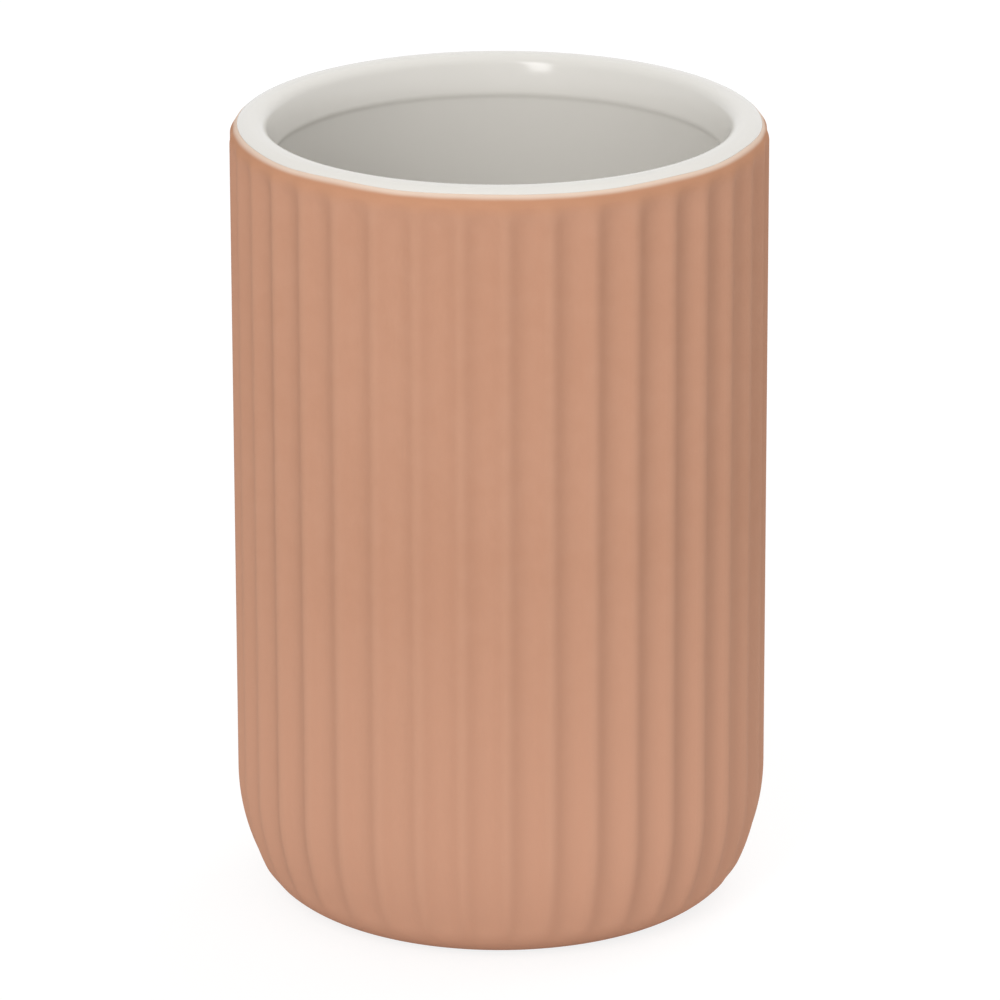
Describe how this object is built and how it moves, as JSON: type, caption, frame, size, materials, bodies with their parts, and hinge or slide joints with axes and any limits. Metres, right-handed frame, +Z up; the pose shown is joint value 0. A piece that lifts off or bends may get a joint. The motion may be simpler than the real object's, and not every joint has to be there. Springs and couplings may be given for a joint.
{
  "type": "toothbrush holder",
  "caption": "Free-standing fluted ceramic tumbler that holds toothbrushes upright, with a thick white-glazed rim and a matt coloured coat.",
  "frame": {"origin": "centre of the foot ring, on the surface that the pot stands on", "axes": "+Z up along the pot's axis, -Y towards the viewer"},
  "size_m": [0.073, 0.073, 0.11],
  "materials": {
    "bare_ceramic": "bare, fine grained",
    "matt_coat": "matt",
    "white_glaze": "gloss",
    "base_glaze": "gloss"
  },
  "bodies": {
    "root": {"ceramic_body": "bare_ceramic", "outer_coat": "matt_coat", "white_glaze": "white_glaze", "base_glaze": "base_glaze"}
  },
  "joints": []
}
